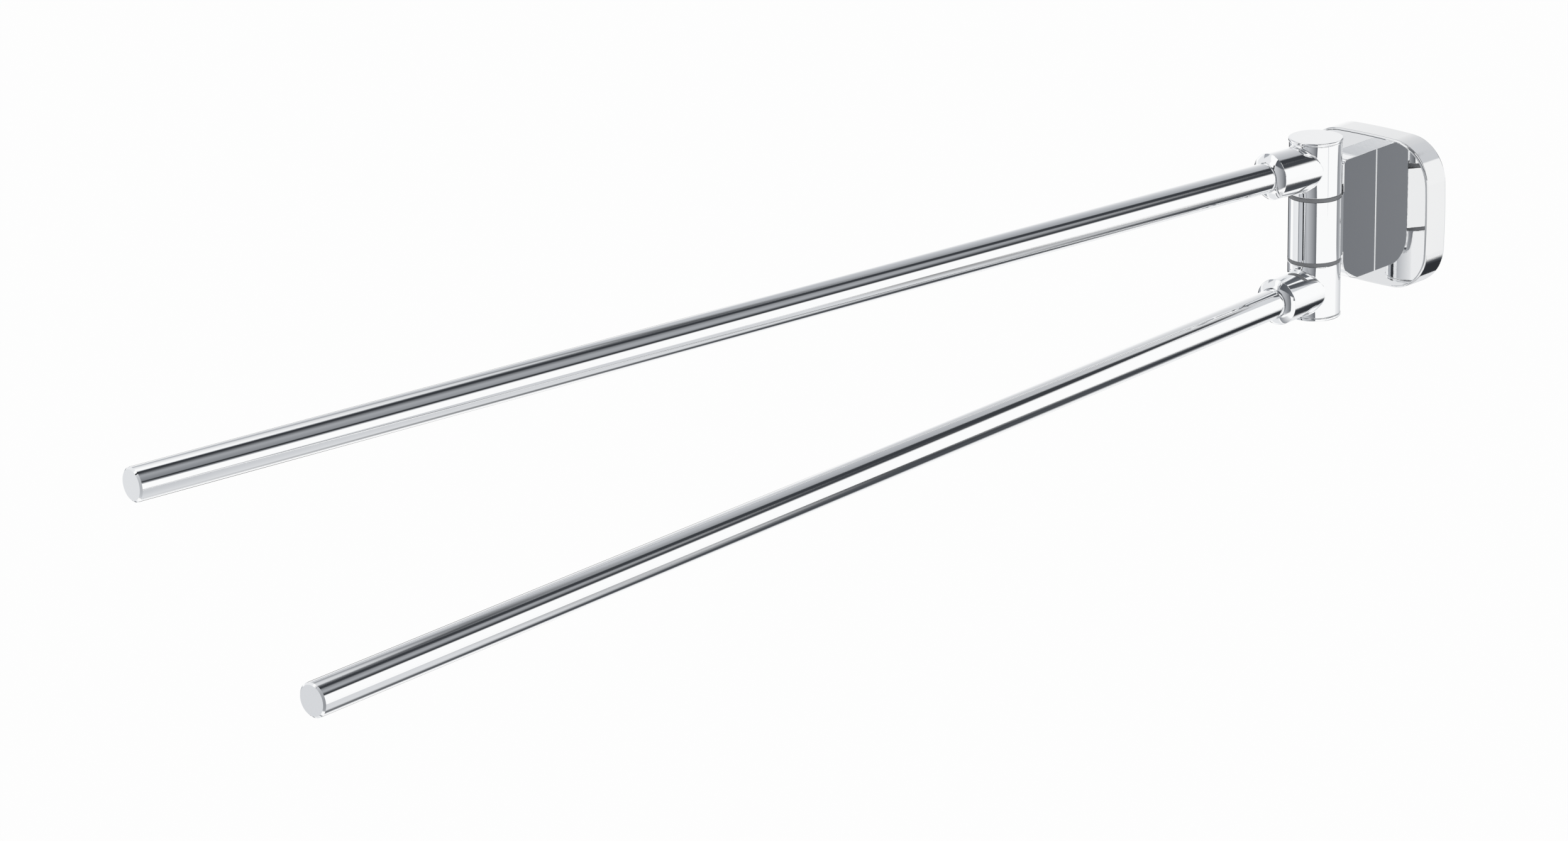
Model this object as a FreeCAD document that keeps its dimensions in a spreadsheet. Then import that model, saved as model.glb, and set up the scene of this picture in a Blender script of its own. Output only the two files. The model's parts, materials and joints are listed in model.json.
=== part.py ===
"""Two-arm swivel towel holder: a wall rosette, a hinge bracket and two arms on one upright hinge pin.

Millimetres. The wall is the plane Y = 0, with the origin at the middle of the rosette's back and +Z up.
The arms reach out along -Y and swing about the upright axis of the hinge column.
"""
import FreeCAD, Part
import math
import os
import re
import Sketcher

# Driving sizes in millimetres, and the two swings in degrees from straight out of the wall.
SIZES = {
    # Rosette: a hollow square with bulged sides, which covers the wall plate.
    "rosette_width": 46.4,
    "rosette_bulge": 0.9,
    "rosette_corner_radius": 13.0,
    "rosette_depth": 9.5,
    "rosette_front_wall": 3.2,
    "rosette_side_wall": 2.8,
    "rosette_edge_radius": 0.7,
    "rosette_back_radius": 0.8,
    # Hinge column: its axis stands axis_reach in front of the rosette.
    "axis_reach": 24.2,
    "knuckle_diameter": 15.8,
    "middle_knuckle_height": 18.6,
    "arm_knuckle_height": 16.0,
    "knuckle_edge_radius": 0.3,
    # Web that carries the middle knuckle.
    "web_thickness": 8.4,
    "web_overhang": 9.75,
    "web_gap": 0.5,
    "web_toe_radius": 7.5,
    "web_top_radius": 1.5,
    "web_edge_radius": 0.2,
    "web_foot_chamfer": 0.3,
    # Hinge pin, bushes, washers, spring and nut.
    "pin_diameter": 6.0,
    "pin_thread_diameter": 5.0,
    "pin_tail_length": 0.5,
    "pin_head_diameter": 9.2,
    "pin_head_height": 4.0,
    "pin_key_width": 3.0,
    "pin_key_depth": 2.0,
    "bush_wall": 1.2,
    "bush_length": 8.5,
    "counterbore_diameter": 10.6,
    "washer_thickness": 1.2,
    "washer_edge_radius": 0.25,
    "spring_diameter": 9.6,
    "spring_bore_diameter": 5.2,
    "spring_height": 1.0,
    "spring_thickness": 0.6,
    "nut_width": 8.0,
    "nut_height": 4.0,
    # Caps that close the two ends of the column.
    "cap_diameter": 16.2,
    "cap_thickness": 0.9,
    "cap_spigot_length": 1.6,
    "cap_edge_radius": 0.3,
    # Arms: stub, collar, tube, stud and end plug.
    "upper_swing_angle": -7.0,
    "lower_swing_angle": 2.5,
    "stub_diameter": 13.9,
    "stub_reach": 18.8,
    "stub_root_radius": 0.6,
    "collar_length": 1.8,
    "collar_lip": 0.25,
    "collar_dome_radius": 6.4,
    "collar_seam_chamfer": 0.12,
    "rod_diameter": 9.0,
    "rod_wall": 1.5,
    "rod_reach": 408.0,
    "stud_hole_wall": 0.8,
    "stud_thread_diameter": 5.0,
    "stud_thread_length": 3.2,
    "stud_grip_length": 16.0,
    "stud_chamfer": 0.5,
    "plug_head_length": 1.0,
    "plug_chamfer": 0.5,
    "plug_spigot_length": 8.0,
    # Wall plate and the screws that hold the bracket together.
    "plate_side_gap": 3.4,
    "plate_thickness": 2.0,
    "plate_corner_radius": 10.0,
    "plate_hole_diameter": 4.6,
    "plate_hole_inset": 5.0,
    "flange_width": 14.0,
    "flange_reach": 3.5,
    "flange_gap": 0.3,
    "bracket_screw_diameter": 4.0,
    "bracket_screw_spacing": 22.0,
    "bracket_screw_grip": 9.0,
    "bracket_screw_head_diameter": 7.0,
    "bracket_screw_head_height": 2.2,
    "bracket_screw_key_width": 2.5,
    "bracket_screw_key_depth": 1.3,
    "clamp_screw_diameter": 4.0,
    "clamp_screw_key_width": 2.0,
    "clamp_screw_key_depth": 1.4,
    "clamp_screw_inset": 0.4,
    # Fits and cuts.
    "running_clearance": 0.05,
    "fit_clearance": 0.02,
    "screw_clearance": 0.2,
    "thread_runout": 0.5,
    "cut_overrun": 2.0,
}

doc = FreeCAD.newDocument("towel_holder")
sheet = doc.addObject("Spreadsheet::Sheet", "Sizes")
for row, (alias, value) in enumerate(SIZES.items(), start=1):
    sheet.set(f"A{row}", alias)
    sheet.set(f"B{row}", str(value))
    sheet.setAlias(f"B{row}", alias)
doc.recompute()

# Places that several pieces share, as formulas of the driving sizes.
AXIS_Y = "(rosette_depth + axis_reach)"
INNER_FACE = "(rosette_depth - rosette_front_wall)"
WEB_FRONT = f"({AXIS_Y} - knuckle_diameter / 2 - web_gap)"
WEB_TOP = "(middle_knuckle_height / 2 + web_overhang)"
KNUCKLE_FOOT = "(middle_knuckle_height / 2 + washer_thickness)"
KNUCKLE_END = f"({KNUCKLE_FOOT} + arm_knuckle_height)"
COLUMN_END = f"({KNUCKLE_END} + cap_thickness)"
ROD_HEIGHT = f"(({KNUCKLE_FOOT} + {COLUMN_END}) / 2)"
BUSH_END = f"({KNUCKLE_FOOT} + bush_length)"
BUSH_RADIUS = "(pin_diameter / 2 + running_clearance + bush_wall)"
NUT_FOOT = f"({BUSH_END} + spring_height)"
STUD_HOLE_END = "(counterbore_diameter / 2 + stud_hole_wall)"
ROD_ROOT = f"({STUD_HOLE_END} + thread_runout + stud_thread_length)"
ROD_BORE = "(rod_diameter / 2 - rod_wall)"
TUBE_END = "(rod_reach - plug_head_length)"
PLATE_SIDE = "(rosette_width / 2 - rosette_side_wall - plate_side_gap)"
FLANGE_TOP = "(rosette_width / 2 - rosette_side_wall - flange_gap)"
CLAMP_FOOT = "(rosette_width / 2 - clamp_screw_inset)"
CLAMP_Y = "(plate_thickness + flange_reach / 2)"

# How close two lengths must be to count as one when edges are picked.
SAME = 1e-4

# Where a polygon's first corner starts, as a share of one side, so that no corner starts on an axis.
START_SHARE = 0.3


def formula(text):
    """The text as an expression in which each driving size points at its cell."""
    return re.sub(r"[a-z]\w*", lambda word: cell(word.group()), text)


def cell(word):
    return f"Sizes.{word}" if word in SIZES else word


def bind(owner, path, text):
    owner.setExpression(path, formula(text))


def wall_body(label):
    """A body in the wall's frame."""
    body = doc.addObject("PartDesign::Body", label)
    body.Label = label
    return body


def column_body(label, swing=None):
    """A body whose Z axis is the hinge axis, turned by an arm's swing."""
    body = wall_body(label)
    bind(body, "Placement.Base.y", f"-{AXIS_Y}")
    if swing:
        body.Placement.Rotation = FreeCAD.Rotation(FreeCAD.Vector(0, 0, 1), 1)
        bind(body, "Placement.Rotation.Angle", swing)
    return body


def new_sketch(body, name, plane, offset=None):
    sketch = body.newObject("Sketcher::SketchObject", f"{body.Label}_{name}")
    support = next(item for item in body.Origin.OriginFeatures if item.Role == plane)
    sketch.AttachmentSupport = (support, [""])
    sketch.MapMode = "FlatFace"
    if offset:
        bind(sketch, "AttachmentOffset.Base.z", offset)
    return sketch


def dimension(sketch, text, kind, *target):
    """A dimension that starts at what the sketch has now and then follows a formula."""
    index = sketch.addConstraint(Sketcher.Constraint(kind, *target))
    bind(sketch, f"Constraints[{index}]", text)


def place(sketch, item, point, x, y):
    """Stand a point of the sketch at two formulas, measured from the sketch's origin."""
    start = sketch.getPoint(item, point)
    dimension(sketch, x, "DistanceX", -1, 1, item, point, start.x)
    dimension(sketch, y, "DistanceY", -1, 1, item, point, start.y)


def close_outline(sketch, first, count):
    for side in range(count):
        following = first + (side + 1) % count
        sketch.addConstraint(Sketcher.Constraint("Coincident", first + side, 2, following, 1))


def polygon(sketch, corners):
    """A closed outline, drawn round a unit circle first and then stood at its corners' formulas."""
    count = len(corners)
    turns = [2 * math.pi * (corner + START_SHARE) / count for corner in range(count)]
    starts = [FreeCAD.Vector(math.cos(turn), math.sin(turn), 0) for turn in turns]
    first = sketch.GeometryCount
    for side in range(count):
        sketch.addGeometry(Part.LineSegment(starts[side], starts[(side + 1) % count]))
    close_outline(sketch, first, count)
    for side, (x, y) in enumerate(corners):
        place(sketch, first + side, 1, x, y)


def rectangle(sketch, left, right, bottom, top):
    polygon(sketch, [(left, bottom), (right, bottom), (right, top), (left, top)])


def circle(sketch, diameter, x="0", y="0"):
    """A circle, drawn as a unit circle first."""
    centre = FreeCAD.Vector(1, 1, 0)
    item = sketch.addGeometry(Part.Circle(centre, FreeCAD.Vector(0, 0, 1), 1))
    place(sketch, item, 3, x, y)
    dimension(sketch, f"({diameter}) / 2", "Radius", item, 1)


def hexagon(sketch, width, x="0", y="0"):
    """A hexagon of a width across flats, two of them parallel to the sketch's vertical axis."""
    half = f"{width} / 2"
    flat = f"{width} / 2 * tan(30)"
    tip = f"{width} / 2 / cos(30)"
    offsets = [("1", flat), ("0", tip), ("-1", flat), ("-1", f"-{flat}"), ("0", f"-{tip}"), ("1", f"-{flat}")]
    polygon(sketch, [(f"{x} + {side} * {half}", f"{y} + {rise}") for side, rise in offsets])


def rounded_square(sketch, inset="0"):
    """The rosette's outline, or one inset from it: four bulged sides joined by tangent corner arcs."""
    bulge = SIZES["rosette_bulge"]
    half = SIZES["rosette_width"] / 2
    inward = SIZES.get(inset, 0)
    side_radius = ((half - bulge) ** 2 + bulge ** 2) / (2 * bulge)
    corner_radius = SIZES["rosette_corner_radius"]
    behind = side_radius - half
    corner = (math.sqrt(2 * (side_radius - corner_radius) ** 2 - behind ** 2) - behind) / 2
    lean = math.atan2(corner, corner + behind)
    quarter = math.pi / 2
    for turn in range(4):
        start = turn * quarter
        spin = FreeCAD.Rotation(FreeCAD.Vector(0, 0, 1), math.degrees(start))
        side_centre = spin.multVec(FreeCAD.Vector(-behind, 0, 0))
        corner_centre = spin.multVec(FreeCAD.Vector(corner, corner, 0))
        arc(sketch, side_centre, side_radius - inward, start - lean, start + lean)
        arc(sketch, corner_centre, corner_radius - inward, start + lean, start + quarter - lean)
    for item in range(8):
        sketch.addConstraint(Sketcher.Constraint("Tangent", item, 2, (item + 1) % 8, 1))
    radius = "((rosette_width / 2 - rosette_bulge) ^ 2 + rosette_bulge ^ 2) / (2 * rosette_bulge)"
    for turn, (right, up) in enumerate([(-1, 0), (0, -1), (1, 0), (0, 1)]):
        side, corner_arc = 2 * turn, 2 * turn + 1
        centre = f"({radius} - rosette_width / 2)"
        place(sketch, side, 3, f"{right} * {centre}", f"{up} * {centre}")
        dimension(sketch, f"{radius} - {inset}", "Radius", side, sketch.Geometry[side].Radius)
        rounding = f"rosette_corner_radius - {inset}"
        dimension(sketch, rounding, "Radius", corner_arc, sketch.Geometry[corner_arc].Radius)


def flared_barrel(sketch):
    """The middle knuckle from above: a round front whose straight flanks run to the web's front corners."""
    radius = SIZES["knuckle_diameter"] / 2
    half = SIZES["web_thickness"] / 2
    behind = radius + SIZES["web_gap"]
    axis = SIZES["rosette_depth"] + SIZES["axis_reach"]
    lean = math.atan2(behind, half) - math.acos(radius / math.hypot(behind, half))
    arc(sketch, FreeCAD.Vector(0, -axis, 0), radius, math.pi - lean, 2 * math.pi + lean)
    touch = (radius * math.cos(lean), radius * math.sin(lean) - axis)
    corner = (half, behind - axis)
    root = (half, behind + half - axis)
    right = [FreeCAD.Vector(x, y, 0) for x, y in (touch, corner, root)]
    left = [FreeCAD.Vector(-x, y, 0) for x, y in (root, corner, touch)]
    ends = right + left
    for start, end in zip(ends, ends[1:]):
        sketch.addGeometry(Part.LineSegment(start, end))
    joints = ["Tangent"] + 4 * ["Coincident"] + ["Tangent"]
    for item, joint in enumerate(joints):
        sketch.addConstraint(Sketcher.Constraint(joint, item, 2, (item + 1) % len(joints), 1))
    place(sketch, 0, 3, "0", f"-{AXIS_Y}")
    dimension(sketch, "knuckle_diameter / 2", "Radius", 0, radius)
    face = "web_thickness / 2"
    front = f"-{WEB_FRONT}"
    deep = f"-({WEB_FRONT} - {face})"
    corners = [(face, front), (face, deep), (f"-{face}", deep), (f"-{face}", front)]
    for item, (x, y) in enumerate(corners, start=1):
        place(sketch, item, 2, x, y)


def domed_section(sketch):
    """The collar's section: three straight sides, and an arc from the stub's edge down to the tube."""
    inner = SIZES["rod_diameter"] / 2 + SIZES["fit_clearance"]
    lip = SIZES["rod_diameter"] / 2 + SIZES["collar_lip"]
    outer = SIZES["stub_diameter"] / 2
    foot = -SIZES["stub_reach"]
    tip = foot - SIZES["collar_length"]
    corners = [FreeCAD.Vector(x, y, 0) for x, y in ((lip, tip), (inner, tip), (inner, foot), (outer, foot))]
    for start, end in zip(corners, corners[1:]):
        sketch.addGeometry(Part.LineSegment(start, end))
    first, last = corners[0], corners[3]
    chord = first - last
    radius = SIZES["collar_dome_radius"]
    inward = FreeCAD.Vector(chord.y, -chord.x, 0).normalize()
    centre = (first + last) / 2 + inward * math.sqrt(radius ** 2 - chord.Length ** 2 / 4)
    turns = [math.atan2(point.y - centre.y, point.x - centre.x) for point in (first, last)]
    arc(sketch, centre, radius, *turns)
    for one, two in (((0, 2), (1, 1)), ((1, 2), (2, 1)), ((2, 2), (3, 2)), ((0, 1), (3, 1))):
        sketch.addConstraint(Sketcher.Constraint("Coincident", *one, *two))
    bore = "rod_diameter / 2 + fit_clearance"
    end = "-(stub_reach + collar_length)"
    places = [(bore, end), (bore, "-stub_reach"), ("stub_diameter / 2", "-stub_reach")]
    for item, (x, y) in enumerate(places):
        place(sketch, item, 2, x, y)
    place(sketch, 0, 1, "rod_diameter / 2 + collar_lip", end)
    dimension(sketch, "collar_dome_radius", "Radius", 3, radius)


def arc(sketch, centre, radius, start, end):
    whole = Part.Circle(centre, FreeCAD.Vector(0, 0, 1), radius)
    sketch.addGeometry(Part.ArcOfCircle(whole, start, end))


def add(body, kind, name, sketch):
    feature = body.newObject(f"PartDesign::{kind}", f"{body.Label}_{name}")
    feature.Profile = sketch
    return feature


def pad(body, name, sketch, length, symmetric=False):
    feature = add(body, "Pad", name, sketch)
    feature.Midplane = symmetric
    bind(feature, "Length", length)
    doc.recompute()
    return feature


def pocket(body, name, sketch, length, backwards=False, symmetric=False):
    """A cut against the sketch plane's normal or, backwards, along it. It has to take something away."""
    before = body.Shape.Volume
    feature = add(body, "Pocket", name, sketch)
    feature.Reversed = backwards
    feature.Midplane = symmetric
    bind(feature, "Length", length)
    doc.recompute()
    if not body.Shape.Volume < before:
        raise RuntimeError(f"{feature.Name} cuts nothing")
    return feature


def turned(body, name, plane, corners, offset=None, kind="Revolution"):
    """A polygon revolved about its sketch's vertical axis."""
    sketch = new_sketch(body, f"{name}_profile", plane, offset)
    polygon(sketch, corners)
    return revolve(body, name, sketch, kind)


def revolve(body, name, sketch, kind="Revolution"):
    feature = add(body, kind, name, sketch)
    feature.ReferenceAxis = (sketch, ["V_Axis"])
    doc.recompute()
    return feature


def edges_of(feature, test):
    return [f"Edge{number}" for number, edge in enumerate(feature.Shape.Edges, start=1) if test(edge)]


def dress(body, kind, name, base, edges, text):
    """A fillet or a chamfer on the named edges."""
    feature = body.newObject(f"PartDesign::{kind}", f"{body.Label}_{name}")
    feature.Base = (base, edges)
    bind(feature, "Radius" if kind == "Fillet" else "Size", text)
    doc.recompute()
    return feature


def fillet(body, name, base, edges, radius):
    return dress(body, "Fillet", name, base, edges, radius)


def chamfer(body, name, base, edges, size):
    return dress(body, "Chamfer", name, base, edges, size)


def along(axis):
    """Picks straight edges that run along one axis."""
    def test(edge):
        ends = [vertex.Point for vertex in edge.Vertexes]
        return len(ends) == 2 and abs(abs((ends[1] - ends[0]).normalize()[axis]) - 1) < SAME
    return test


def at(axis, value):
    """Picks edges that lie in a plane square to one axis."""
    def test(edge):
        box = edge.BoundBox
        low, high = ((box.XMin, box.XMax), (box.YMin, box.YMax), (box.ZMin, box.ZMax))[axis]
        return abs(low - value) < SAME and abs(high - value) < SAME
    return test


def rims(diameter):
    """Picks circular edges of one diameter."""
    def test(edge):
        curve = edge.Curve
        return isinstance(curve, Part.Circle) and abs(2 * curve.Radius - diameter) < SAME
    return test


def both(*tests):
    """Picks edges that pass every test."""
    return lambda edge: all(test(edge) for test in tests)


def make_rosette():
    body = wall_body("rosette")
    outline = new_sketch(body, "outline", "XZ_Plane")
    rounded_square(outline)
    block = pad(body, "block", outline, "rosette_depth")
    box = block.Shape.BoundBox
    block = fillet(body, "front_edge", block, edges_of(block, at(1, box.YMin)), "rosette_edge_radius")
    fillet(body, "back_edge", block, edges_of(block, at(1, box.YMax)), "rosette_back_radius")
    inside = new_sketch(body, "inside", "XZ_Plane")
    rounded_square(inside, "rosette_side_wall")
    pocket(body, "hollow", inside, INNER_FACE, backwards=True)
    screws = new_sketch(body, "screw_holes", "XZ_Plane")
    for up in (1, -1):
        hole = "bracket_screw_diameter + 2 * screw_clearance"
        circle(screws, hole, y=f"{up} * bracket_screw_spacing / 2")
    pocket(body, "screw_hole_cut", screws, "rosette_depth + cut_overrun", backwards=True)
    clamp = new_sketch(body, "clamp_hole", "XY_Plane")
    circle(clamp, "clamp_screw_diameter + 2 * fit_clearance", y=f"-{CLAMP_Y}")
    pocket(body, "clamp_hole_cut", clamp, "rosette_width / 2 + cut_overrun")
    return body


def make_wall_plate():
    """A flat plate with a flange above and below, which the rosette slips over."""
    body = wall_body("wall_plate")
    outline = new_sketch(body, "outline", "XZ_Plane")
    rectangle(outline, f"-{PLATE_SIDE}", PLATE_SIDE, f"-{FLANGE_TOP}", FLANGE_TOP)
    plate = pad(body, "plate", outline, "plate_thickness")
    fillet(body, "corners", plate, edges_of(plate, along(1)), "plate_corner_radius")
    flanges = new_sketch(body, "flanges", "XZ_Plane")
    for up in (1, -1):
        inner = f"{up} * ({FLANGE_TOP} - plate_thickness)"
        rectangle(flanges, "-flange_width / 2", "flange_width / 2", inner, f"{up} * {FLANGE_TOP}")
    pad(body, "flange_pad", flanges, "plate_thickness + flange_reach")
    holes = new_sketch(body, "holes", "XZ_Plane")
    for right in (1, -1):
        circle(holes, "plate_hole_diameter", x=f"{right} * ({PLATE_SIDE} - plate_hole_inset)")
    pocket(body, "hole_cut", holes, "plate_thickness + cut_overrun", backwards=True)
    return body


def make_clamp_screw():
    """A grub screw in the rosette's lower wall, which presses on the plate's lower flange."""
    body = wall_body("clamp_screw")
    end = new_sketch(body, "end", "XY_Plane", f"-{CLAMP_FOOT}")
    circle(end, "clamp_screw_diameter", y=f"-{CLAMP_Y}")
    pad(body, "shank", end, f"{CLAMP_FOOT} - {FLANGE_TOP}")
    key = new_sketch(body, "key", "XY_Plane", f"-{CLAMP_FOOT}")
    hexagon(key, "clamp_screw_key_width", y=f"-{CLAMP_Y}")
    pocket(body, "key_cut", key, "clamp_screw_key_depth", backwards=True)
    return body


def make_hinge_bracket():
    """The upright web on the rosette and the middle knuckle that it carries."""
    body = wall_body("hinge_bracket")
    profile = new_sketch(body, "web_profile", "YZ_Plane")
    rectangle(profile, f"-{WEB_FRONT}", "-rosette_depth", f"-{WEB_TOP}", WEB_TOP)
    web = pad(body, "web", profile, "web_thickness", symmetric=True)
    box = web.Shape.BoundBox
    toe = edges_of(web, both(at(1, box.YMin), at(2, box.ZMin)))
    web = fillet(body, "toe", web, toe, "web_toe_radius")
    crown = edges_of(web, both(at(1, box.YMin), at(2, box.ZMax)))
    web = fillet(body, "crown", web, crown, "web_top_radius")
    web = chamfer(body, "foot", web, edges_of(web, at(1, box.YMax)), "web_foot_chamfer")
    sides = edges_of(web, at(0, box.XMin)) + edges_of(web, at(0, box.XMax))
    chamfered = edges_of(web, at(1, box.YMax - SIZES["web_foot_chamfer"]))
    fillet(body, "rims", web, [edge for edge in sides if edge not in chamfered], "web_edge_radius")
    barrel = new_sketch(body, "barrel", "XY_Plane")
    flared_barrel(barrel)
    pad(body, "middle_knuckle", barrel, "middle_knuckle_height", symmetric=True)
    bore = new_sketch(body, "bore", "XY_Plane")
    circle(bore, "pin_diameter + 2 * fit_clearance", y=f"-{AXIS_Y}")
    pocket(body, "bore_cut", bore, "middle_knuckle_height + 2 * cut_overrun", symmetric=True)
    threads = new_sketch(body, "threads", "XZ_Plane", "rosette_depth")
    for up in (1, -1):
        hole = "bracket_screw_diameter + 2 * fit_clearance"
        circle(threads, hole, y=f"{up} * bracket_screw_spacing / 2")
    pocket(body, "thread_cut", threads, "bracket_screw_grip + thread_runout", backwards=True)
    return body


def make_bracket_screws():
    """Two cap screws from inside the rosette into the web, as one group."""
    body = wall_body("bracket_screw")
    head_face = f"({INNER_FACE} - bracket_screw_head_height)"
    head = "bracket_screw_head_diameter / 2"
    shank = "bracket_screw_diameter / 2"
    tip = "(rosette_depth + bracket_screw_grip)"
    corners = [
        ("0", f"-{head_face}"),
        (head, f"-{head_face}"),
        (head, f"-{INNER_FACE}"),
        (shank, f"-{INNER_FACE}"),
        (shank, f"-{tip}"),
        ("0", f"-{tip}"),
    ]
    turned(body, "screw", "XY_Plane", corners, "bracket_screw_spacing / 2")
    key = new_sketch(body, "key", "XZ_Plane", head_face)
    hexagon(key, "bracket_screw_key_width", y="bracket_screw_spacing / 2")
    pocket(body, "key_cut", key, "bracket_screw_key_depth", backwards=True)
    lower = doc.addObject("Part::Mirroring", "lower_bracket_screw")
    lower.Source = body
    lower.Normal = FreeCAD.Vector(0, 0, 1)
    pair = doc.addObject("Part::Compound", "bracket_screws")
    pair.Label = "bracket_screws"
    pair.Links = [body, lower]
    doc.recompute()
    return pair


def make_hinge_pin():
    """A shoulder bolt: head in the lower knuckle, shank through the column, thread in the upper knuckle."""
    body = column_body("hinge_pin")
    head_foot = f"-({BUSH_END} + pin_head_height)"
    tail = f"({NUT_FOOT} + nut_height + pin_tail_length)"
    corners = [
        ("0", head_foot),
        ("pin_head_diameter / 2", head_foot),
        ("pin_head_diameter / 2", f"-{BUSH_END}"),
        ("pin_diameter / 2", f"-{BUSH_END}"),
        ("pin_diameter / 2", BUSH_END),
        ("pin_thread_diameter / 2", BUSH_END),
        ("pin_thread_diameter / 2", tail),
        ("0", tail),
    ]
    turned(body, "bolt", "XZ_Plane", corners)
    key = new_sketch(body, "key", "XY_Plane", head_foot)
    hexagon(key, "pin_key_width")
    pocket(body, "key_cut", key, "pin_key_depth", backwards=True)
    return body


def make_hinge_nut():
    body = column_body("hinge_nut")
    outline = new_sketch(body, "outline", "XY_Plane", NUT_FOOT)
    hexagon(outline, "nut_width")
    circle(outline, "pin_thread_diameter + 2 * fit_clearance")
    pad(body, "nut", outline, "nut_height")
    return body


def make_disc_spring():
    """A conical spring washer: its rim presses on the upper knuckle and its bore on the nut."""
    body = column_body("disc_spring")
    corners = [
        ("spring_bore_diameter / 2", f"{NUT_FOOT} - spring_thickness"),
        ("spring_diameter / 2", BUSH_END),
        ("spring_diameter / 2", f"{BUSH_END} + spring_thickness"),
        ("spring_bore_diameter / 2", NUT_FOOT),
    ]
    turned(body, "cone", "XZ_Plane", corners)
    return body


def make_friction_washer(label, up):
    """A grey ring between the middle knuckle and an arm's knuckle."""
    body = column_body(label)
    foot = "middle_knuckle_height / 2"
    corners = ring("pin_diameter / 2 + fit_clearance", "knuckle_diameter / 2", foot, KNUCKLE_FOOT, up)
    disc = turned(body, "disc", "XZ_Plane", corners)
    fillet(body, "rims", disc, edges_of(disc, rims(SIZES["knuckle_diameter"])), "washer_edge_radius")
    return body


def ring(inner, outer, bottom, top, up=1):
    """The four corners of a ring's section, from one height to another above or below the middle."""
    low, high = f"{up} * ({bottom})", f"{up} * ({top})"
    return [(inner, low), (outer, low), (outer, high), (inner, high)]


def make_knuckle(label, swing, up):
    """An arm's knuckle: an upright barrel with a stub for the tube."""
    body = column_body(label, swing)
    barrel = ring("0", "knuckle_diameter / 2", KNUCKLE_FOOT, KNUCKLE_END, up)
    turned(body, "barrel", "XZ_Plane", barrel)
    end = new_sketch(body, "stub_end", "XZ_Plane")
    circle(end, "stub_diameter", y=f"{up} * {ROD_HEIGHT}")
    stub = pad(body, "stub", end, "stub_reach")
    seam = edges_of(stub, lambda edge: isinstance(edge.Curve, Part.BSplineCurve))
    stub = fillet(body, "stub_root", stub, seam, "stub_root_radius")
    fillet(body, "rims", stub, edges_of(stub, rims(SIZES["knuckle_diameter"])), "knuckle_edge_radius")
    bore = [
        ("0", f"{up} * ({KNUCKLE_FOOT} - cut_overrun)"),
        (BUSH_RADIUS, f"{up} * ({KNUCKLE_FOOT} - cut_overrun)"),
        (BUSH_RADIUS, f"{up} * {BUSH_END}"),
        ("counterbore_diameter / 2", f"{up} * {BUSH_END}"),
        ("counterbore_diameter / 2", f"{up} * ({KNUCKLE_END} + cut_overrun)"),
        ("0", f"{up} * ({KNUCKLE_END} + cut_overrun)"),
    ]
    turned(body, "bore", "XZ_Plane", bore, kind="Groove")
    socket = new_sketch(body, "socket", "XZ_Plane", "stub_reach")
    circle(socket, "rod_diameter + 2 * fit_clearance", y=f"{up} * {ROD_HEIGHT}")
    pocket(body, "socket_cut", socket, f"stub_reach - {ROD_ROOT}")
    thread = new_sketch(body, "thread", "XZ_Plane", "stub_reach")
    circle(thread, "stud_thread_diameter + 2 * fit_clearance", y=f"{up} * {ROD_HEIGHT}")
    pocket(body, "thread_cut", thread, f"stub_reach - {STUD_HOLE_END}")
    return body


def make_bush(label, swing, up):
    """A plastic sleeve pressed into an arm's knuckle, which runs on the pin."""
    body = column_body(label, swing)
    inner = "pin_diameter / 2 + running_clearance"
    outer = f"{BUSH_RADIUS} - fit_clearance"
    turned(body, "sleeve", "XZ_Plane", ring(inner, outer, KNUCKLE_FOOT, BUSH_END, up))
    return body


def make_cap(label, swing, up):
    """A thin lid with a spigot, which closes the column's end."""
    body = column_body(label, swing)
    spigot = "counterbore_diameter / 2 - fit_clearance"
    corners = [
        ("0", f"{up} * ({KNUCKLE_END} - cap_spigot_length)"),
        (spigot, f"{up} * ({KNUCKLE_END} - cap_spigot_length)"),
        (spigot, f"{up} * {KNUCKLE_END}"),
        ("cap_diameter / 2", f"{up} * {KNUCKLE_END}"),
        ("cap_diameter / 2", f"{up} * {COLUMN_END}"),
        ("0", f"{up} * {COLUMN_END}"),
    ]
    lid = turned(body, "lid", "XZ_Plane", corners)
    fillet(body, "rims", lid, edges_of(lid, rims(SIZES["cap_diameter"])), "cap_edge_radius")
    return body


def make_collar(label, swing, up):
    """A ring that finishes the stub round the tube, with a shallow domed face."""
    body = column_body(label, swing)
    section = new_sketch(body, "section", "XY_Plane", f"{up} * {ROD_HEIGHT}")
    domed_section(section)
    blank = revolve(body, "ring", section)
    seam = edges_of(blank, both(rims(SIZES["stub_diameter"]), at(1, blank.Shape.BoundBox.YMax)))
    chamfer(body, "seam", blank, seam, "collar_seam_chamfer")
    return body


def make_rod(label, swing, up):
    body = column_body(label, swing)
    corners = ring(ROD_BORE, "rod_diameter / 2", ROD_ROOT, TUBE_END, -1)
    turned(body, "tube", "XY_Plane", corners, f"{up} * {ROD_HEIGHT}")
    return body


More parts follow.
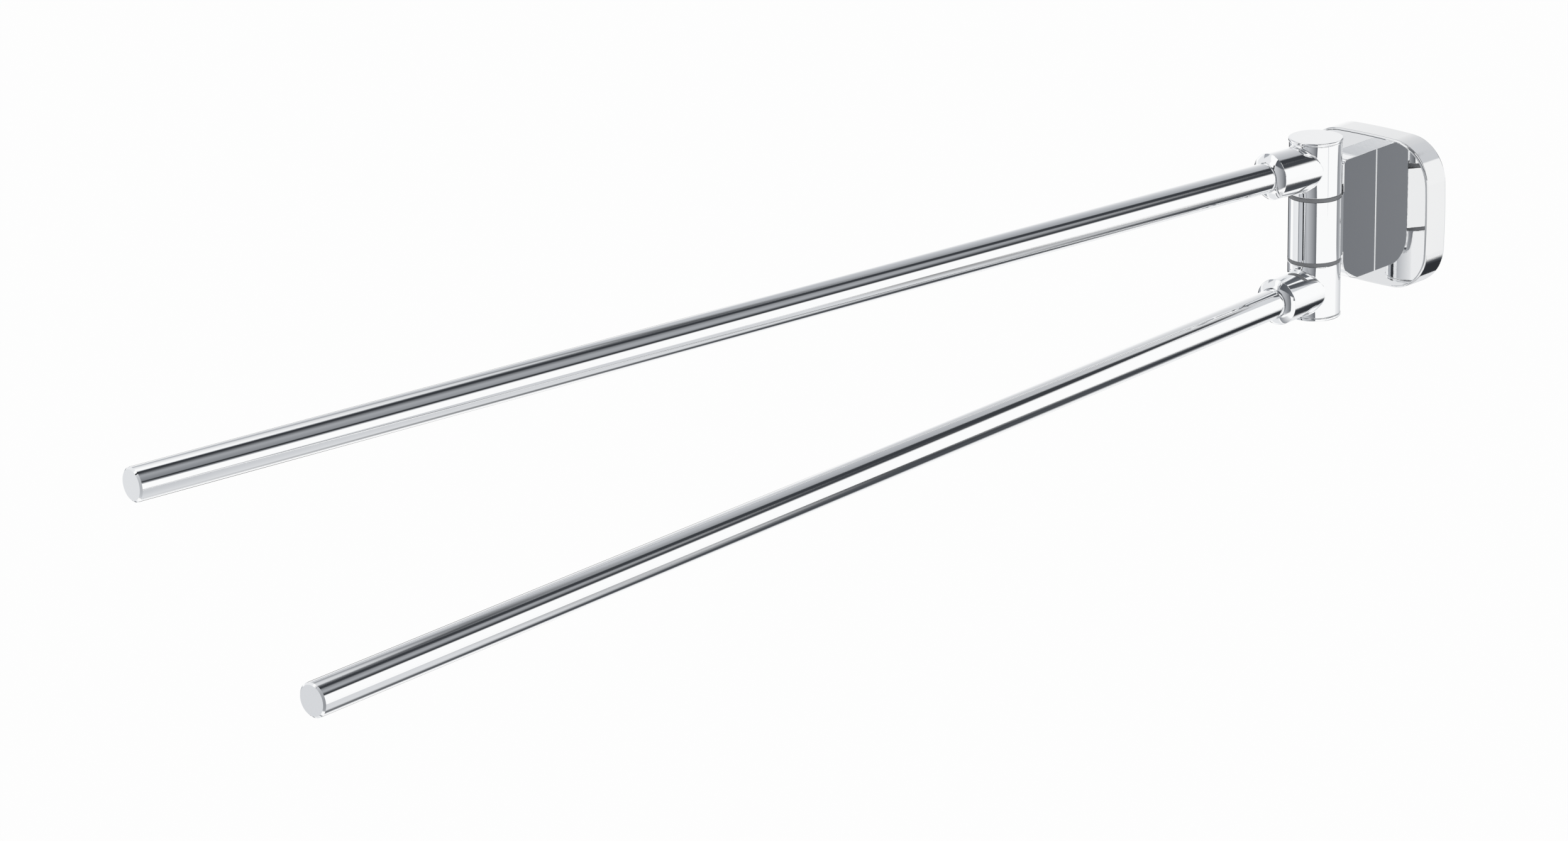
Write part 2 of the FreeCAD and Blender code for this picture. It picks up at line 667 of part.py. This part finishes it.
def make_stud(label, swing, up):
    """A stud pressed into the tube, with a thread that draws the tube into the stub."""
    body = column_body(label, swing)
    grip = f"{ROD_BORE} - fit_clearance"
    thread = "stud_thread_diameter / 2"
    thread_tip = f"({ROD_ROOT} - stud_thread_length)"
    grip_tip = f"({ROD_ROOT} + stud_grip_length)"
    corners = [
        ("0", f"-{thread_tip}"),
        (f"{thread} - stud_chamfer", f"-{thread_tip}"),
        (thread, f"-({thread_tip} + stud_chamfer)"),
        (thread, f"-{ROD_ROOT}"),
        (grip, f"-{ROD_ROOT}"),
        (grip, f"-({grip_tip} - stud_chamfer)"),
        (f"{grip} - stud_chamfer", f"-{grip_tip}"),
        ("0", f"-{grip_tip}"),
    ]
    turned(body, "stud", "XY_Plane", corners, f"{up} * {ROD_HEIGHT}")
    return body


def make_end_plug(label, swing, up):
    """The tube's end: a chamfered disc on a spigot."""
    body = column_body(label, swing)
    spigot = f"{ROD_BORE} - fit_clearance"
    spigot_tip = f"({TUBE_END} - plug_spigot_length)"
    corners = [
        ("0", f"-{spigot_tip}"),
        (spigot, f"-{spigot_tip}"),
        (spigot, f"-{TUBE_END}"),
        ("rod_diameter / 2", f"-{TUBE_END}"),
        ("rod_diameter / 2", "-(rod_reach - plug_chamfer)"),
        ("rod_diameter / 2 - plug_chamfer", "-rod_reach"),
        ("0", "-rod_reach"),
    ]
    turned(body, "plug", "XY_Plane", corners, f"{up} * {ROD_HEIGHT}")
    return body


def make_arm(level, up):
    """Everything that swings with one arm."""
    swing = f"{level}_swing_angle"
    makers = {
        "knuckle": make_knuckle,
        "bush": make_bush,
        "cap": make_cap,
        "collar": make_collar,
        "rod": make_rod,
        "rod_stud": make_stud,
        "rod_end": make_end_plug,
    }
    return [maker(f"{level}_{piece}", swing, up) for piece, maker in makers.items()]


nodes = [
    make_rosette(),
    make_wall_plate(),
    make_clamp_screw(),
    make_hinge_bracket(),
    make_bracket_screws(),
    make_hinge_pin(),
    make_hinge_nut(),
    make_disc_spring(),
    make_friction_washer("upper_friction_washer", 1),
    make_friction_washer("lower_friction_washer", -1),
    *make_arm("upper", 1),
    *make_arm("lower", -1),
]
doc.recompute()

# Nothing is written unless every object of the document is sound.
for item in doc.Objects:
    if {"Invalid", "Error"} & set(item.State):
        raise RuntimeError(f"{item.Name} failed: {item.State}")
for node in nodes:
    if node.Shape.isNull() or not node.Shape.isValid():
        raise RuntimeError(f"{node.Label} has no valid shape")

os.makedirs("parts", exist_ok=True)
for node in nodes:
    node.Shape.exportStep(f"parts/{node.Label}.step")
    box = node.Shape.optimalBoundingBox(False)
    print(f"{node.Label}: {len(node.Shape.Solids)} solid, {node.Shape.Volume:.1f} mm3, "
          f"X {box.XMin:.2f} {box.XMax:.2f}, Y {box.YMin:.2f} {box.YMax:.2f}, Z {box.ZMin:.2f} {box.ZMax:.2f}")
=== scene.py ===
# %% [markdown]
# # A two-arm swivel towel holder in chrome
# A rounded square rosette sits on the wall, an upright hinge column stands in front of it, and two round
# arms swing on that column, one above the other. All the solid pieces come from the CAD model with their
# true shapes, so this lesson is about what makes polished chrome look like chrome: the finish itself, and
# above all the room that it mirrors.

# %% Load the frame
import json
import math

import bpy
import numpy as np
from mathutils import Matrix

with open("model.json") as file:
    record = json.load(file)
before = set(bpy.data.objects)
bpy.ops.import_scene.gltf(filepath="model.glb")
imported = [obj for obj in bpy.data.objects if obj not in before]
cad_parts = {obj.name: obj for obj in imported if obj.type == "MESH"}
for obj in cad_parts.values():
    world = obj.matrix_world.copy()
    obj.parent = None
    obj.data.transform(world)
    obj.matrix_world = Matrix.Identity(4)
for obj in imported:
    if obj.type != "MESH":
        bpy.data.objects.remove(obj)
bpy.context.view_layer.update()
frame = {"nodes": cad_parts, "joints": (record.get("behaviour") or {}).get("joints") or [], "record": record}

# %% [markdown]
# ## Writing materials as sums
# A material is a net of nodes, and wiring one by hand takes many lines. A small class wraps one socket,
# so that `0.03 + 0.05 * smudges` adds the Math nodes by itself. Every other node goes through one method,
# which sets the node's own settings first and then its sockets.

# %% A wire through a node tree
# A Mix node has a set of sockets for each kind of data. These are the places of its colour sockets.
MIX_FIRST_COLOUR = 6
MIX_SECOND_COLOUR = 7
MIX_COLOUR_OUT = 2


class Wire:
    """One output socket of a node tree. Arithmetic on wires adds Math nodes."""

    def __init__(self, tree, socket):
        self.tree = tree
        self.socket = socket

    def node(self, kind, settings=None, sockets=None, output=0):
        """Adds a node of any type: its settings first, then the values or wires of its sockets."""
        made = self.tree.nodes.new(kind)
        for name, value in (settings or {}).items():
            setattr(made, name, value)
        for name, value in (sockets or {}).items():
            if isinstance(value, Wire):
                self.tree.links.new(value.socket, made.inputs[name])
            else:
                made.inputs[name].default_value = value
        return Wire(self.tree, made.outputs[output])

    def maths(self, operation, *values):
        return self.node("ShaderNodeMath", {"operation": operation}, dict(enumerate(values)))

    def __add__(self, other):
        return self.maths("ADD", self, other)

    def __mul__(self, other):
        return self.maths("MULTIPLY", self, other)

    def __sub__(self, other):
        return self.maths("SUBTRACT", self, other)

    def __rsub__(self, other):
        return self.maths("SUBTRACT", other, self)

    __radd__ = __add__
    __rmul__ = __mul__

    def noise(self, scale, detail=2.0):
        """Soft noise from 0 to 1, with about scale waves to the metre."""
        return self.node("ShaderNodeTexNoise", sockets={"Vector": self, "Scale": scale, "Detail": detail})

    def turned(self, degrees, stretch=(1.0, 1.0, 1.0)):
        """The same coordinates turned about Z and then scaled, for a pattern that follows an arm."""
        turn = (0.0, 0.0, math.radians(degrees))
        flat = self.node("ShaderNodeMapping", {"vector_type": "TEXTURE"}, {"Vector": self, "Rotation": turn})
        return flat.node("ShaderNodeMapping", sockets={"Vector": flat, "Scale": stretch})

    def between(self, low, high):
        """A colour that runs from one to the other as this wire goes from 0 to 1."""
        colours = {0: self, MIX_FIRST_COLOUR: (*low, 1.0), MIX_SECOND_COLOUR: (*high, 1.0)}
        return self.node("ShaderNodeMix", {"data_type": "RGBA"}, colours, output=MIX_COLOUR_OUT)

    def step(self, start, end):
        """A smooth step from 0 at start to 1 at end."""
        return self.node(
            "ShaderNodeMapRange",
            {"interpolation_type": "SMOOTHSTEP"},
            {"Value": self, "From Min": start, "From Max": end},
        )

# %% [markdown]
# ## Starting a material
# Every finish of the object starts alike: a Principled shader, which already is a good model of metal and
# plastic, and the Object coordinates of the piece. These are metres in the part's own frame, so a pattern
# has its real size and stays on its piece when an arm swings. UV maps could carry the patterns too, but
# the CAD solids have none.

# %% A new material, its inputs and its ripples
def new_material(name):
    """A material with an empty finish: the material, its shader and a wire of Object coordinates."""
    material = bpy.data.materials.new(name)
    material.use_nodes = True
    tree = material.node_tree
    place = tree.nodes.new("ShaderNodeTexCoord")
    return material, tree.nodes["Principled BSDF"], Wire(tree, place.outputs["Object"])


def feed(shader, **wires):
    """Links wires to a shader's sockets. An underscore in a name stands for a space."""
    for name, wire in wires.items():
        wire.tree.links.new(wire.socket, shader.inputs[name.replace("_", " ")])


def bump(height, strength, depth):
    """A normal that ripples with a height wire. Depth is the height of the ripple in metres."""
    return height.node("ShaderNodeBump", sockets={"Height": height, "Strength": strength, "Distance": depth})

# %% [markdown]
# ## Chrome
# Chrome plating is a mirror with almost no colour of its own. A perfect mirror looks like a picture and
# not like metal, so the finish keeps three faint traces of how the piece was made: the tone of the
# plating drifts slowly, polishing and wiping leave patches that are a little less sharp, and the plating
# has a fine orange peel. Each trace is one noise of its own scale, because a single noise for all three
# would look like dirt.

# %% A chrome finish
CHROME_COOL = (0.95, 0.96, 0.97)
CHROME_WARM = (0.975, 0.975, 0.975)
DRIFT_WAVES = 25.0
WIPED_WAVES = 140.0
WIPED_FROM = 0.45
WIPED_TO = 0.75
POLISHED_ROUGHNESS = 0.02
WIPED_ROUGHNESS = 0.03
PEEL_STRENGTH = 0.35


def chrome(name, swing=0.0, stretch=(1.0, 1.0, 1.0), peel_waves=900.0, peel_depth=0.000004, shade=1.0):
    """Polished chrome. Swing turns the pattern with an arm, and a stretch below 1 draws it out."""
    material, shader, place = new_material(name)
    # A shade below 1 makes a darker copy of the chrome: painted shade over all that the piece mirrors.
    cool = [shade * part for part in CHROME_COOL]
    warm = [shade * part for part in CHROME_WARM]
    along = place.turned(swing, stretch)
    drift = along.noise(DRIFT_WAVES)
    wiped = along.noise(WIPED_WAVES, detail=4.0).step(WIPED_FROM, WIPED_TO)
    peel = along.noise(peel_waves, detail=1.0)
    shader.inputs["Metallic"].default_value = 1.0
    feed(
        shader,
        Base_Color=drift.between(cool, warm),
        Roughness=POLISHED_ROUGHNESS + WIPED_ROUGHNESS * wiped,
        Normal=bump(peel, PEEL_STRENGTH, peel_depth),
    )
    return material

# %% [markdown]
# ## Chrome for each kind of piece
# The knuckles, the caps and the bracket are castings and share one finish. The rosette gets a darker
# copy of the same chrome, a painted shade that dims all that its face mirrors. A tube is polished along
# its axis, so its traces run lengthways, turned with the arm. An arm swings as far to one side of straight
# out as to the other, so the middle of its joint's range tells how far it stands from there now. The
# collars are turned rings, and a coarser, deeper ripple breaks up what they mirror.

# %% Make the chrome finishes
# The rosette's chrome is made darker by this factor, a painted shade on its reflections.
ROSETTE_PAINTED_SHADE = 0.90
ALONG_ARM = (1.0, 0.06, 1.0)
RING_PEEL_WAVES = 700.0
RING_PEEL_DEPTH = 0.00003

casting = chrome("chrome_casting")
own_finishes = {"rosette": chrome("chrome_rosette", shade=ROSETTE_PAINTED_SHADE)}
for joint in frame["joints"]:
    level = joint["child"].removesuffix("_arm")
    swing = -sum(joint["range_deg"]) / 2
    tube = chrome(f"chrome_{level}_tube", swing, ALONG_ARM)
    ring = chrome(f"chrome_{level}_ring", swing, peel_waves=RING_PEEL_WAVES, peel_depth=RING_PEEL_DEPTH)
    own_finishes.update({f"{level}_rod": tube, f"{level}_rod_end": tube, f"{level}_collar": ring})
    print(f"{level} arm: {swing} degrees from straight out")

# %% [markdown]
# ## Zinc-plated steel
# The plate, the pin and the screws inside are made to hold, not to shine. Their steel has a thin zinc
# coat with a cloudy tone, over the short scratches of rolling. A noise that is drawn out along one axis
# makes such scratches, and the same noise drives the roughness and the ripple, so that they agree.

# %% A steel finish
STEEL_DARK = (0.56, 0.57, 0.59)
STEEL_LIGHT = (0.69, 0.69, 0.68)
STEEL_CLOUD_WAVES = 180.0
SCRATCH_WAVES = 4000.0
SCRATCH_STRETCH = (0.05, 1.0, 1.0)
SCRATCH_STRENGTH = 0.3
SCRATCH_DEPTH = 0.000006
STEEL_ROUGHNESS = 0.26
SCRATCH_ROUGHNESS = 0.16


def zinc_steel(name):
    """Rolled steel with a thin zinc coat: scratches drawn out along X over a cloudy tone."""
    material, shader, place = new_material(name)
    scratches = place.turned(0.0, SCRATCH_STRETCH).noise(SCRATCH_WAVES, detail=3.0)
    clouds = place.noise(STEEL_CLOUD_WAVES, detail=4.0)
    shader.inputs["Metallic"].default_value = 1.0
    feed(
        shader,
        Base_Color=clouds.between(STEEL_DARK, STEEL_LIGHT),
        Roughness=STEEL_ROUGHNESS + SCRATCH_ROUGHNESS * scratches,
        Normal=bump(scratches, SCRATCH_STRENGTH, SCRATCH_DEPTH),
    )
    return material


steel = zinc_steel("zinc_steel")
print("steel finish:", steel.name)

# %% [markdown]
# ## Plastic
# Two kinds of plastic sit in the hinge: dark grey friction washers, which show as thin rings in the
# column, and bushes in a natural, slightly milky tone. Both are moulded, with a fine even grain, so one
# function makes both, with its own colours and gloss for each.

# %% The plastic finishes
PLASTIC_CLOUD_WAVES = 220.0
GRAIN_WAVES = 5000.0
GRAIN_STRENGTH = 0.25
GRAIN_DEPTH = 0.00001
GRAIN_ROUGHNESS = 0.12


def moulded_plastic(name, dark, light, roughness):
    """Moulded plastic with a fine grain and a slow drift of tone."""
    material, shader, place = new_material(name)
    grain = place.noise(GRAIN_WAVES)
    clouds = place.noise(PLASTIC_CLOUD_WAVES, detail=3.0)
    feed(
        shader,
        Base_Color=clouds.between(dark, light),
        Roughness=roughness + GRAIN_ROUGHNESS * grain,
        Normal=bump(grain, GRAIN_STRENGTH, GRAIN_DEPTH),
    )
    return material


washer = moulded_plastic("grey_washer_plastic", (0.140, 0.146, 0.156), (0.185, 0.191, 0.200), 0.36)
bush = moulded_plastic("natural_bush_plastic", (0.80, 0.79, 0.74), (0.86, 0.85, 0.81), 0.42)
print("plastic finishes:", washer.name, bush.name)

# %% [markdown]
# ## A finish for every piece
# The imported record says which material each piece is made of. Most pieces take the finish of that
# material, and the rosette, the tubes, their ends and the collars take the finish that was made for them
# alone. Going through the record, and not through a list typed here, leaves no piece out.

# %% Give every node its finish
slot_finishes = {"chrome": casting, "steel": steel, "grey_plastic": washer, "bush_plastic": bush}
slots = {part["node"]: part["material_slot"] for part in frame["record"]["subparts"]}
for node, piece in frame["nodes"].items():
    piece.data.materials.clear()
    piece.data.materials.append(own_finishes.get(node, slot_finishes[slots[node]]))
print("finished nodes:", len(frame["nodes"]))

# %% [markdown]
# ## The floor and the white room
# The room is as plain as can be: a wide white sheet for a floor, and a white world at strength 1, at
# which a colour looks about as it is written. The floor lies far below, because the cards of the next
# steps hang in between. The same function makes the floor and the cards: a flat sheet from one corner and
# two edges.

# %% Floor and world
FLOOR_DROP = 2.4
FLOOR_HALF = 10.0
FLOOR_WHITE = 0.985
FLOOR_ROUGHNESS = 0.9


def sheet(name, corner, across, along):
    """A flat sheet: corner + u * across + v * along, with u and v from 0 to 1 as its UV map."""
    u, v = np.meshgrid([0.0, 1.0], [0.0, 1.0])
    shares = np.stack([u.ravel(), v.ravel()], axis=1)
    points = np.asarray(corner) + shares[:, :1] * np.asarray(across) + shares[:, 1:] * np.asarray(along)
    mesh = bpy.data.meshes.new(name)
    mesh.from_pydata(points.tolist(), [], [(0, 1, 3, 2)])
    loops = np.empty(len(mesh.loops), dtype=int)
    mesh.loops.foreach_get("vertex_index", loops)
    mesh.uv_layers.new(name="sheet").data.foreach_set("uv", shares[loops].ravel())
    made = bpy.data.objects.new(name, mesh)
    bpy.context.scene.collection.objects.link(made)
    return made


floor_corner = (-FLOOR_HALF, -FLOOR_HALF, -FLOOR_DROP)
floor = sheet("floor", floor_corner, (2 * FLOOR_HALF, 0, 0), (0, 2 * FLOOR_HALF, 0))
floor_paint, floor_shader, _ = new_material("floor_paint")
floor_shader.inputs["Roughness"].default_value = FLOOR_ROUGHNESS
floor_shader.inputs["Specular IOR Level"].default_value = 0.0
floor_shader.inputs["Base Color"].default_value = (FLOOR_WHITE, FLOOR_WHITE, FLOOR_WHITE, 1.0)
floor.data.materials.append(floor_paint)

world = bpy.data.worlds.new("white_room")
world.use_nodes = True
world.node_tree.nodes["Background"].inputs["Color"].default_value = (1.0, 1.0, 1.0, 1.0)
world.node_tree.nodes["Background"].inputs["Strength"].default_value = 1.0
bpy.context.scene.world = world
print("floor:", 2 * FLOOR_HALF, "m wide,", FLOOR_DROP, "m below the middle of the rosette")

# %% [markdown]
# ## Cards for the chrome
# In an all-white room chrome looks like white plastic. A studio hangs grey and black cards round the
# object, out of the picture, and the metal draws its dark lines from them. A whole painted room could do
# that too, but with single cards one line can be changed without the others. Each card has a grey that
# may run from one end to the other, and it fades out at its edges, so that the lines end softly.

# %% Paint for a card
RED_LOSS = 0.11
BLUE_GAIN = 0.19


def tone(grey):
    """A grey as a studio gives it: the darker, the cooler. White stays white."""
    depth = 1.0 - math.sqrt(grey)
    return grey * (1.0 - RED_LOSS * depth), grey, grey * (1.0 + BLUE_GAIN * depth)


def card_paint(name, greys, fades):
    """A card that glows with a grey, from the first to the second along u, and fades out at its edges."""
    material = bpy.data.materials.new(name)
    material.use_nodes = True
    tree = material.node_tree
    tree.nodes.clear()
    shares = Wire(tree, tree.nodes.new("ShaderNodeTexCoord").outputs["UV"])
    u = shares.node("ShaderNodeSeparateXYZ", sockets={"Vector": shares})
    v = Wire(tree, u.socket.node.outputs["Y"])
    left, right, bottom, top = fades
    mask = u.step(0.0, left) * (1.0 - u).step(0.0, right) * v.step(0.0, bottom) * (1.0 - v).step(0.0, top)
    glow = u.node("ShaderNodeEmission", sockets={"Color": u.between(*map(tone, greys)), "Strength": 1.0})
    clear = u.node("ShaderNodeBsdfTransparent")
    mixed = u.node("ShaderNodeMixShader", sockets={0: mask, 1: clear, 2: glow})
    out = tree.nodes.new("ShaderNodeOutputMaterial")
    tree.links.new(mixed.socket, out.inputs["Surface"])
    return material


print("a middle grey as a studio gives it:", np.round(tone(0.5), 3).tolist())

# %% [markdown]
# ## Hanging a card
# A card is a flat sheet that only reflections see: the switches for all other rays are off, so it neither
# shades the floor nor stands in the picture. Most cards hang upright, facing the object from behind or
# from the front, and may be tilted a little, as a line in the metal is.

# %% Hang a card
UNSEEN_BY = ("camera", "diffuse", "transmission", "volume_scatter", "shadow")


def hang(name, corner, across, along, fades, greys):
    """A card from its corner and two edges. The fades, two for each edge, are in metres."""
    made = sheet(name, corner, across, along)
    width, height = np.linalg.norm(across), np.linalg.norm(along)
    shares = [fade / length for fade, length in zip(fades, (width, width, height, height))]
    made.data.materials.append(card_paint(name, greys, shares))
    for rays in UNSEEN_BY:
        setattr(made, f"visible_{rays}", False)


def card(name, plane, middle, size, tilt, fades, greys):
    """A card on an upright plane at one Y. The fades are those at the left, right, bottom and top."""
    turn = math.radians(tilt)
    across = size[0] * np.array([math.cos(turn), 0.0, math.sin(turn)])
    along = size[1] * np.array([-math.sin(turn), 0.0, math.cos(turn)])
    corner = np.array([middle[0], plane, middle[1]]) - across / 2 - along / 2
    hang(name, corner, across, along, fades, greys)

# %% [markdown]
# ## The cards behind
# Where the round metal turns away from the eye, it mirrors what hangs behind it. Large pale cards give
# the tubes their greys, and black ones over them draw the lines. Each card hangs a few millimetres nearer
# to the object than the one before it, so that a later card covers an earlier one.
#
# The numbers of the first ten cards weren't chosen by hand: they come from a least-squares fit to the
# light and dark bands that the two tubes show in the photograph. Only the left pale card was changed
# after the fit. The last five cards, and those of the steps that follow, were set one by one.

# %% Cards behind the object
BACK_PLANE = 0.55
CARD_STEP = 0.004

# Name, middle along X and Z, width and height, tilt in degrees, fades, and the greys at the two ends.
back_cards = [
    ("left_pale_card", (-0.702, 0.802), (1.742, 1.634), 13.8, (0.16, 0.03, 0.68, 0.90), (0.618, 0.431)),
    ("upper_grey_card", (1.131, 1.255), (2.991, 1.503), -6.5, (0.10, 0.30, 0.28, 0.10), (0.555, 0.141)),
    ("lower_pale_card", (0.738, -1.352), (3.096, 1.692), -17.1, (0.90, 0.61, 0.18, 0.14), (0.837, 0.549)),
    ("upper_streak_card", (-0.671, 0.929), (1.623, 0.288), 17.5, (0.08, 0.36, 0.20, 0.16), (0.388, 0.008)),
    ("level_black_card", (1.353, 0.799), (2.232, 0.507), 11.6, (0.17, 0.36, 0.14, 0.28), (0.065, 0.011)),
    ("upright_black_card", (0.155, 1.178), (0.461, 1.634), 12.0, (0.13, 0.17, 0.08, 0.10), (0.043, 0.049)),
    ("lower_black_card", (0.097, -1.109), (0.781, 1.677), -19.3, (0.26, 0.36, 0.90, 0.10), (0.071, 0.070)),
    ("lower_black_bar", (0.538, -0.634), (0.699, 0.443), 10.1, (0.05, 0.47, 0.35, 0.08), (0.087, 0.008)),
    ("lower_line_card", (0.763, -0.603), (0.698, 0.297), 11.4, (0.19, 0.17, 0.21, 0.15), (0.757, 0.008)),
    ("upper_dark_card", (0.281, 1.274), (1.258, 1.753), -20.7, (0.27, 0.90, 0.90, 0.10), (0.035, 0.054)),
    ("corner_pale_card", (-0.36, -0.36), (0.62, 0.34), 0.0, (0.10, 0.05, 0.08, 0.08), (0.83, 0.83)),
    ("corner_black_card", (0.105, -0.43), (0.36, 0.16), -8.0, (0.04, 0.03, 0.04, 0.03), (0.035, 0.035)),
    ("corner_top_card", (0.12, 0.375), (0.46, 0.13), -19.3, (0.05, 0.03, 0.03, 0.02), (0.71, 0.66)),
    ("low_back_card", (0.0, -0.20), (0.80, 0.24), 0.0, (0.10, 0.10, 0.05, 0.05), (0.48, 0.95)),
    ("middle_back_card", (-0.02, 0.12), (0.50, 0.28), 0.0, (0.06, 0.06, 0.06, 0.04), (0.30, 0.06)),
]
for order, (name, *row) in enumerate(back_cards):
    card(name, BACK_PLANE - CARD_STEP * order, *row)
print("cards behind:", len(back_cards))

# %% [markdown]
# ## The cards in front
# The rosette's face is a flat mirror that looks forward, and so does the round front of the column. Their
# cards hang in front of the object in the same way. A flat mirror shows a card with its true edges, so
# these are upright, and the narrow ones come out as lines.

# %% Cards in front of the object
FRONT_PLANE = -1.00

front_cards = [
    ("front_left_card", (-1.65, -0.50), (1.95, 1.6), 0.0, (0.3, 0.03, 0.3, 0.3), (0.80, 0.86)),
    ("front_pale_card", (-0.40, -0.45), (0.55, 1.5), 0.0, (0.03, 0.03, 0.3, 0.3), (0.52, 0.60)),
    ("front_top_card", (1.53, 1.40), (3.34, 1.9), 0.0, (0.03, 0.3, 0.12, 0.3), (0.10, 0.22)),
    ("front_grey_card", (0.435, -0.25), (1.15, 1.9), 0.0, (0.03, 0.02, 0.3, 0.12), (0.62, 0.115)),
    ("front_black_line", (-0.204, -0.25), (0.14, 1.9), 0.0, (0.03, 0.03, 0.3, 0.12), (0.03, 0.03)),
    ("front_high_card", (-0.85, 0.09), (1.00, 0.50), 0.0, (0.10, 0.05, 0.05, 0.04), (0.05, 0.10)),
    ("front_eye_card", (-0.75, 0.43), (0.60, 0.16), 0.0, (0.10, 0.05, 0.03, 0.03), (0.66, 0.66)),
    ("front_grey_line", (-0.65, -0.45), (0.10, 1.5), 0.0, (0.03, 0.03, 0.3, 0.3), (0.15, 0.15)),
]
for order, (name, *row) in enumerate(front_cards):
    card(name, FRONT_PLANE + CARD_STEP * order, *row)
print("cards in front:", len(front_cards))

# %% [markdown]
# ## Cards at other distances
# The disc that closes a tube is a small flat mirror, which shows only one spot of the room. Each disc
# gets a small card of its own at that spot, close in front of the arms. One wide dark card hangs far off,
# low down to the left.

# %% Cards for the arms' ends, and one far off
NEAR_PLANE = -0.70
FAR_PLANE = 1.50
END_SIZE = (0.05, 0.05)
END_FADES = (0.008, 0.008, 0.008, 0.008)

card("lower_end_card", NEAR_PLANE, (-0.248, -0.173), END_SIZE, 0.0, END_FADES, (0.70, 0.70))
card("upper_end_card", NEAR_PLANE, (-0.660, -0.218), END_SIZE, 0.0, END_FADES, (0.77, 0.77))
card("far_left_card", FAR_PLANE, (-3.40, -1.20), (3.2, 2.0), 0.0, (0.5, 0.15, 0.2, 0.3), (0.04, 0.04))
print("planes of the near and the far cards:", NEAR_PLANE, FAR_PLANE)

# %% [markdown]
# ## Cards for the other sides
# Seen from above, from the side or from straight ahead, the metal mirrors other parts of the room, which
# are all white so far. More cards hang there: one overhead, upright ones to the right and to the left,
# and level ones below. The web's flanks are flat and look sideways, so the narrow cards keep them grey
# without darkening the arms.

# %% Cards overhead, at the sides and below
OVERHEAD_PLANE = 2.0
BELOW_PLANE = -1.0


def side_card(name, x, y_span, z_span, fades, greys):
    """An upright card at one X, from the first to the second Y and Z."""
    across = (0.0, y_span[1] - y_span[0], 0.0)
    along = (0.0, 0.0, z_span[1] - z_span[0])
    hang(name, (x, y_span[0], z_span[0]), across, along, fades, greys)


def level_card(name, z, x_span, y_span, fades, greys):
    """A level card at one Z, from the first to the second X and Y."""
    across = (x_span[1] - x_span[0], 0.0, 0.0)
    along = (0.0, y_span[1] - y_span[0], 0.0)
    hang(name, (x_span[0], y_span[0], z), across, along, fades, greys)


# Name, place along X, spans along Y and Z, fades, and the greys at the first and second Y.
side_cards = [
    ("right_card", 1.60, (-1.10, 0.20), (0.05, 1.02), (0.2, 0.06, 0.05, 0.4), (0.10, 0.20)),
    ("right_web_card", 1.60, (0.06, 0.15), (-0.42, 0.05), (0.01, 0.01, 0.01, 0.05), (0.24, 0.24)),
    ("right_strip_card", 1.59, (0.085, 0.145), (-0.48, -0.40), (0.01, 0.01, 0.02, 0.01), (0.58, 0.58)),
    ("right_low_card", 1.60, (0.06, 0.15), (-1.25, -0.68), (0.01, 0.01, 0.1, 0.03), (0.30, 0.30)),
    ("left_card", -1.60, (-0.55, 0.65), (0.80, 1.70), (0.2, 0.2, 0.05, 0.3), (0.42, 0.36)),
    ("left_web_card", -1.60, (-0.10, 0.60), (-1.0, 0.0), (0.05, 0.05, 0.1, 0.1), (0.45, 0.45)),
    ("side_pale_card", -1.75, (-2.60, 0.40), (0.0, 2.6), (0.3, 0.3, 0.2, 0.3), (0.84, 0.84)),
]
# Name, spans along X and Y, fades, and the greys at the first and second X.
below_cards = [
    ("below_card", (-0.25, 0.45), (-0.70, 0.10), (0.05, 0.2, 0.1, 0.1), (0.22, 0.95)),
    ("below_left_card", (-1.40, -0.85), (-0.45, 0.30), (0.1, 0.03, 0.1, 0.1), (0.20, 0.45)),
    ("below_pale_card", (-0.85, -0.27), (-0.65, 0.30), (0.2, 0.02, 0.2, 0.2), (0.80, 0.80)),
]
level_card("overhead_card", OVERHEAD_PLANE, (-0.8, 0.8), (-1.0, 0.5), (0.3, 0.05, 0.2, 0.2), (0.70, 0.10))
for row in side_cards:
    side_card(*row)
for name, *row in below_cards:
    level_card(name, BELOW_PLANE, *row)
print("cards at the sides:", len(side_cards), "and below:", len(below_cards))

# %% [markdown]
# ## Camera
# The photograph's camera was found from the straight edges of the rods, the column and the rosette: a
# long lens, a little more than a metre away, to the right of the arms and above them. Its direction is an
# azimuth, an elevation and a slight roll, which make the three axes of the camera's own frame.

# %% Camera
PHOTO_WIDTH_PX = 2494
FOCAL_PX = 7570.4
SENSOR_MM = 36.0
CAMERA_PLACE = np.array([0.83319, -1.10945, 0.41507])
CAMERA_AZIMUTH = math.radians(44.461)
CAMERA_ELEVATION = math.radians(19.263)
CAMERA_ROLL = math.radians(-1.383)

level_reach = math.cos(CAMERA_ELEVATION)
backwards = np.array([
    math.sin(CAMERA_AZIMUTH) * level_reach,
    -math.cos(CAMERA_AZIMUTH) * level_reach,
    math.sin(CAMERA_ELEVATION),
])
level_right = np.array([math.cos(CAMERA_AZIMUTH), math.sin(CAMERA_AZIMUTH), 0.0])
level_up = np.cross(backwards, level_right)
right = math.cos(CAMERA_ROLL) * level_right + math.sin(CAMERA_ROLL) * level_up
up = math.cos(CAMERA_ROLL) * level_up - math.sin(CAMERA_ROLL) * level_right

camera = bpy.data.objects.new("camera", bpy.data.cameras.new("camera"))
bpy.context.scene.collection.objects.link(camera)
camera.data.sensor_fit = "HORIZONTAL"
camera.data.sensor_width = SENSOR_MM
camera.data.lens = FOCAL_PX / PHOTO_WIDTH_PX * SENSOR_MM
pose = np.eye(4)
pose[:3, :3] = np.stack([right, up, backwards], axis=1)
pose[:3, 3] = CAMERA_PLACE
camera.matrix_world = Matrix(pose.tolist())
bpy.context.scene.camera = camera
bpy.context.scene.view_settings.view_transform = "Standard"
print("lens in mm:", round(camera.data.lens, 2))
